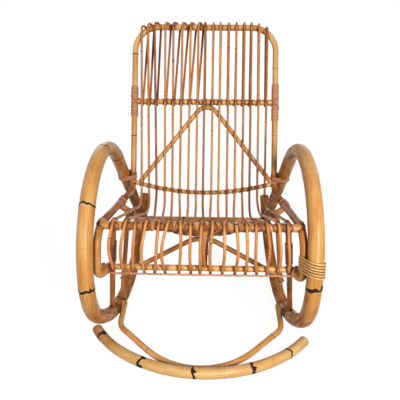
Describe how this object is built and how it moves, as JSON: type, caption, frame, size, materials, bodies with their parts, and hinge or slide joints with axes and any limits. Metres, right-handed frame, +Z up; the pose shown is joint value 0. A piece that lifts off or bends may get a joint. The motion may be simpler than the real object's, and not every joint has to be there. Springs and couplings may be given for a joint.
{
  "type": "rocking chair",
  "caption": "Rattan rocking chair: hooped arm poles that bend down into the rockers, a tall back and seat of continuous bent rods, and a foot bow in front.",
  "frame": {"origin": "on the floor, under the middle of the bounding box", "axes": "+Z up, -Y towards the front where the sitter's feet go, +X to the right of someone facing the chair"},
  "size_m": [0.7087, 1.0839, 0.9981],
  "materials": {
    "thick_pole": "varnished rattan",
    "thin_pole": "varnished rattan",
    "rod": "varnished rattan",
    "lashing": "split cane"
  },
  "bodies": {
    "root": {"apron_rail": "thin_pole", "apron_trim": "lashing", "arm_rocker_left": "thick_pole", "arm_rocker_right": "thick_pole", "arm_tie_left": "lashing", "arm_tie_right": "lashing", "back_brace": "thin_pole", "back_hoop": "thin_pole", "bow_strut": "thin_pole", "centre_post": "thin_pole", "foot_bow": "thick_pole", "front_strut_left": "thin_pole", "front_strut_right": "thin_pole", "hoop_wrap_right": "lashing", "low_back_rail": "thin_pole", "mid_back_rail": "thin_pole", "post_wrap": "lashing", "rear_leg_left": "thin_pole", "rear_leg_right": "thin_pole", "rear_stretcher": "thin_pole", "rod_01": "rod", "rod_02": "rod", "rod_03": "rod", "rod_04": "rod", "rod_05": "rod", "rod_06": "rod", "rod_07": "rod", "rod_08": "rod", "rod_09": "rod", "rod_10": "rod", "rod_11": "rod", "rod_12": "rod", "rod_13": "rod", "rod_14": "rod", "rod_15": "rod", "rod_16": "rod", "rod_17": "rod", "seat_arch": "thin_pole", "seat_front_rail": "thin_pole", "seat_rear_rail": "thin_pole", "side_frame_left": "thin_pole", "side_frame_right": "thin_pole", "strut_wrap_left": "lashing", "strut_wrap_right": "lashing", "upright_wrap_left": "lashing", "upright_wrap_right": "lashing"}
  },
  "joints": []
}
